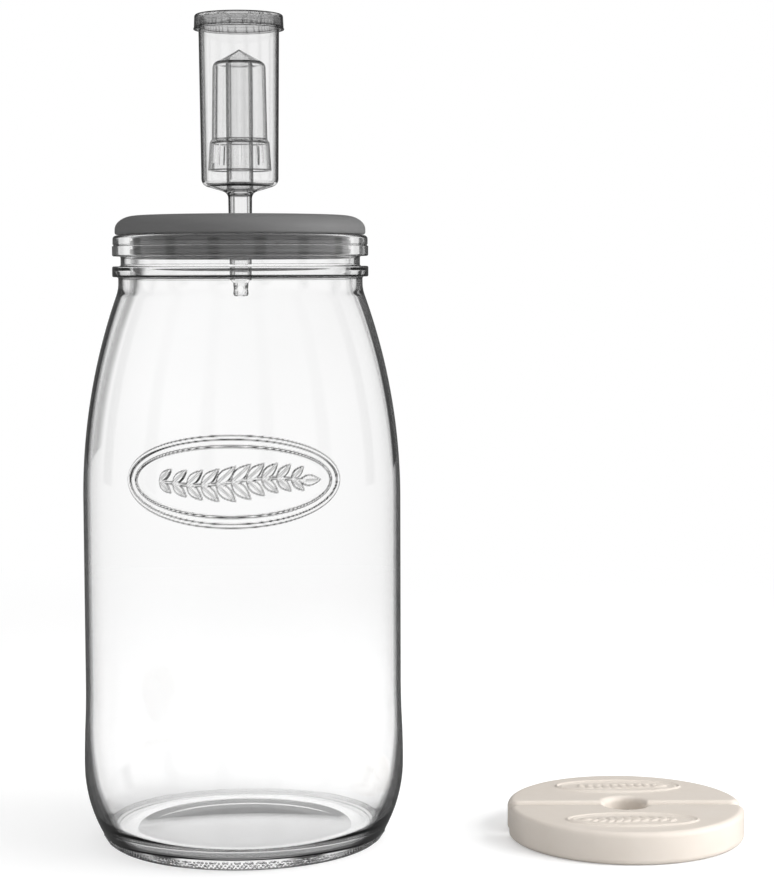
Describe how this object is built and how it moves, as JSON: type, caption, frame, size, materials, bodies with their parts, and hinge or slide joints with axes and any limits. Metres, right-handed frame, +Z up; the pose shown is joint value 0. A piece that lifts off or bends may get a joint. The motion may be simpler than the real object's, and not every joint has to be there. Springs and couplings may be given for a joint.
{
  "type": "fermentation jar with airlock",
  "caption": "Wide-mouthed glass fermentation jar with a push-in silicone lid, a clear water airlock with float and dust cap, and a pair of half-disc ceramic weights.",
  "frame": {"origin": "on the jar's axis, in the plane of the standing ring under its base", "axes": "+Z up along the jar's axis, -Y towards the jar's front, +X towards the weights that lie beside the jar"},
  "size_m": [0.2894, 0.1398, 0.3585],
  "materials": {
    "jar_glass": "clear pressed and blown soda-lime glass",
    "lid_silicone": "satin moulded silicone, mid grey",
    "clear_plastic": "clear injection-moulded polystyrene",
    "glazed_ceramic": "pressed stoneware under a thin off-white glaze"
  },
  "bodies": {
    "jar": {"glass_jar": "jar_glass"},
    "lid": {"silicone_lid": "lid_silicone"},
    "airlock": {"airlock_body": "clear_plastic"},
    "float": {"airlock_float": "clear_plastic"},
    "dust_cap": {"airlock_cap": "clear_plastic"},
    "weight_back": {"weight_rear": "glazed_ceramic"},
    "weight_near": {"weight_front": "glazed_ceramic"}
  },
  "joints": [
    {"name": "lid_lift", "type": "slide", "parent": "jar", "child": "lid", "axis": [0, 0, 1], "range_m": [0, 0.04]},
    {"name": "airlock_lift", "type": "slide", "parent": "lid", "child": "airlock", "axis": [0, 0, 1], "range_m": [0, 0.045]},
    {"name": "float_rise", "type": "slide", "parent": "airlock", "child": "float", "axis": [0, 0, 1], "range_m": [0, 0.0129]},
    {"name": "cap_lift", "type": "slide", "parent": "airlock", "child": "dust_cap", "axis": [0, 0, 1], "range_m": [0, 0.02]},
    {"name": "weight_rear_lift", "type": "slide", "parent": "jar", "child": "weight_back", "axis": [0, 0, 1], "range_m": [0, 0.04]},
    {"name": "weight_front_lift", "type": "slide", "parent": "jar", "child": "weight_near", "axis": [0, 0, 1], "range_m": [0, 0.04]}
  ]
}
